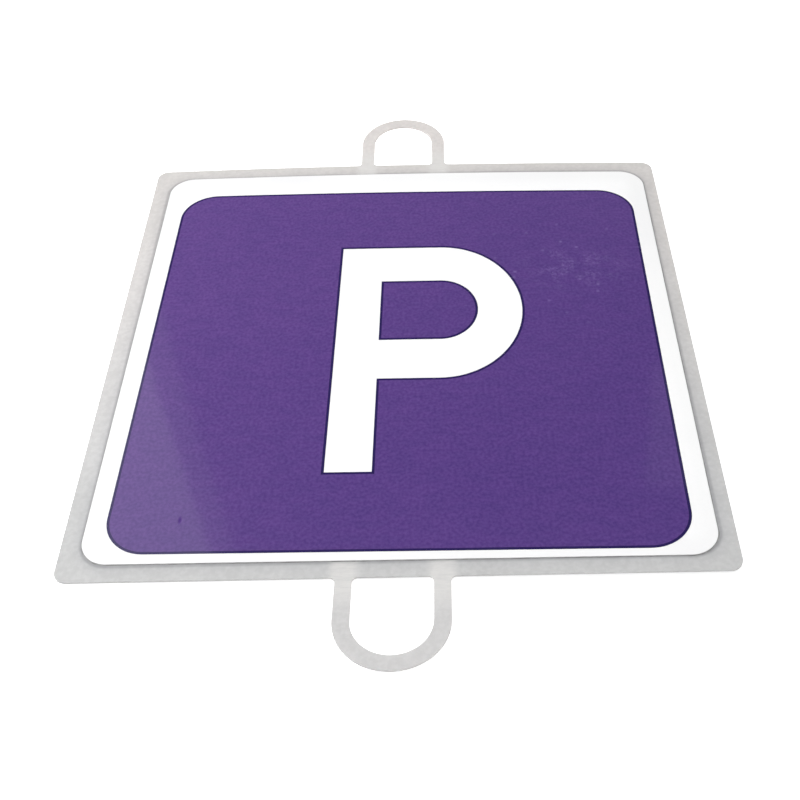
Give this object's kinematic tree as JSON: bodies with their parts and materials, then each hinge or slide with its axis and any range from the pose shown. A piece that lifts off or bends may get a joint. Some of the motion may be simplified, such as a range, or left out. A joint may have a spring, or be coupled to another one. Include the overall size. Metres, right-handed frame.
{
  "type": "sign panel",
  "caption": "Flexible square sign panel with a laminated parking label and a folding loop on its top and bottom edges, which slip over a round post.",
  "frame": {"origin": "middle of the panel's back, on the surface that it lies on", "axes": "+X towards the sign's right, +Y towards its top, +Z out of its printed face"},
  "size_m": [0.3, 0.395, 0.0016],
  "materials": {
    "milky_sheet": "satin",
    "whitened_sheet": "satin",
    "adhesive": "matte",
    "white_film": "gloss",
    "purple_ink": "gloss",
    "clear_film": "polished"
  },
  "bodies": {
    "sheet": {"carrier_sheet": "milky_sheet", "top_bend_left": "whitened_sheet", "top_bend_right": "whitened_sheet", "bottom_bend_left": "whitened_sheet", "bottom_bend_right": "whitened_sheet", "label_adhesive": "adhesive", "label_film": "white_film", "purple_field": "purple_ink", "purple_counter": "purple_ink", "clear_laminate": "clear_film"},
    "top_loop": {"top_loop": "milky_sheet"},
    "bottom_loop": {"bottom_loop": "milky_sheet"}
  },
  "joints": [
    {"name": "top_loop_fold", "type": "hinge", "parent": "sheet", "child": "top_loop", "pos_m": [0, 0.1535, 0.0005], "axis": [1, 0, 0], "range_deg": [-90, 90], "stiffness_Nm_per_rad": 0.12, "deforming": ["top_bend_left", "top_bend_right"]},
    {"name": "bottom_loop_fold", "type": "hinge", "parent": "sheet", "child": "bottom_loop", "pos_m": [0, -0.1535, 0.0005], "axis": [-1, 0, 0], "range_deg": [-90, 90], "stiffness_Nm_per_rad": 0.12, "deforming": ["bottom_bend_left", "bottom_bend_right"]}
  ]
}
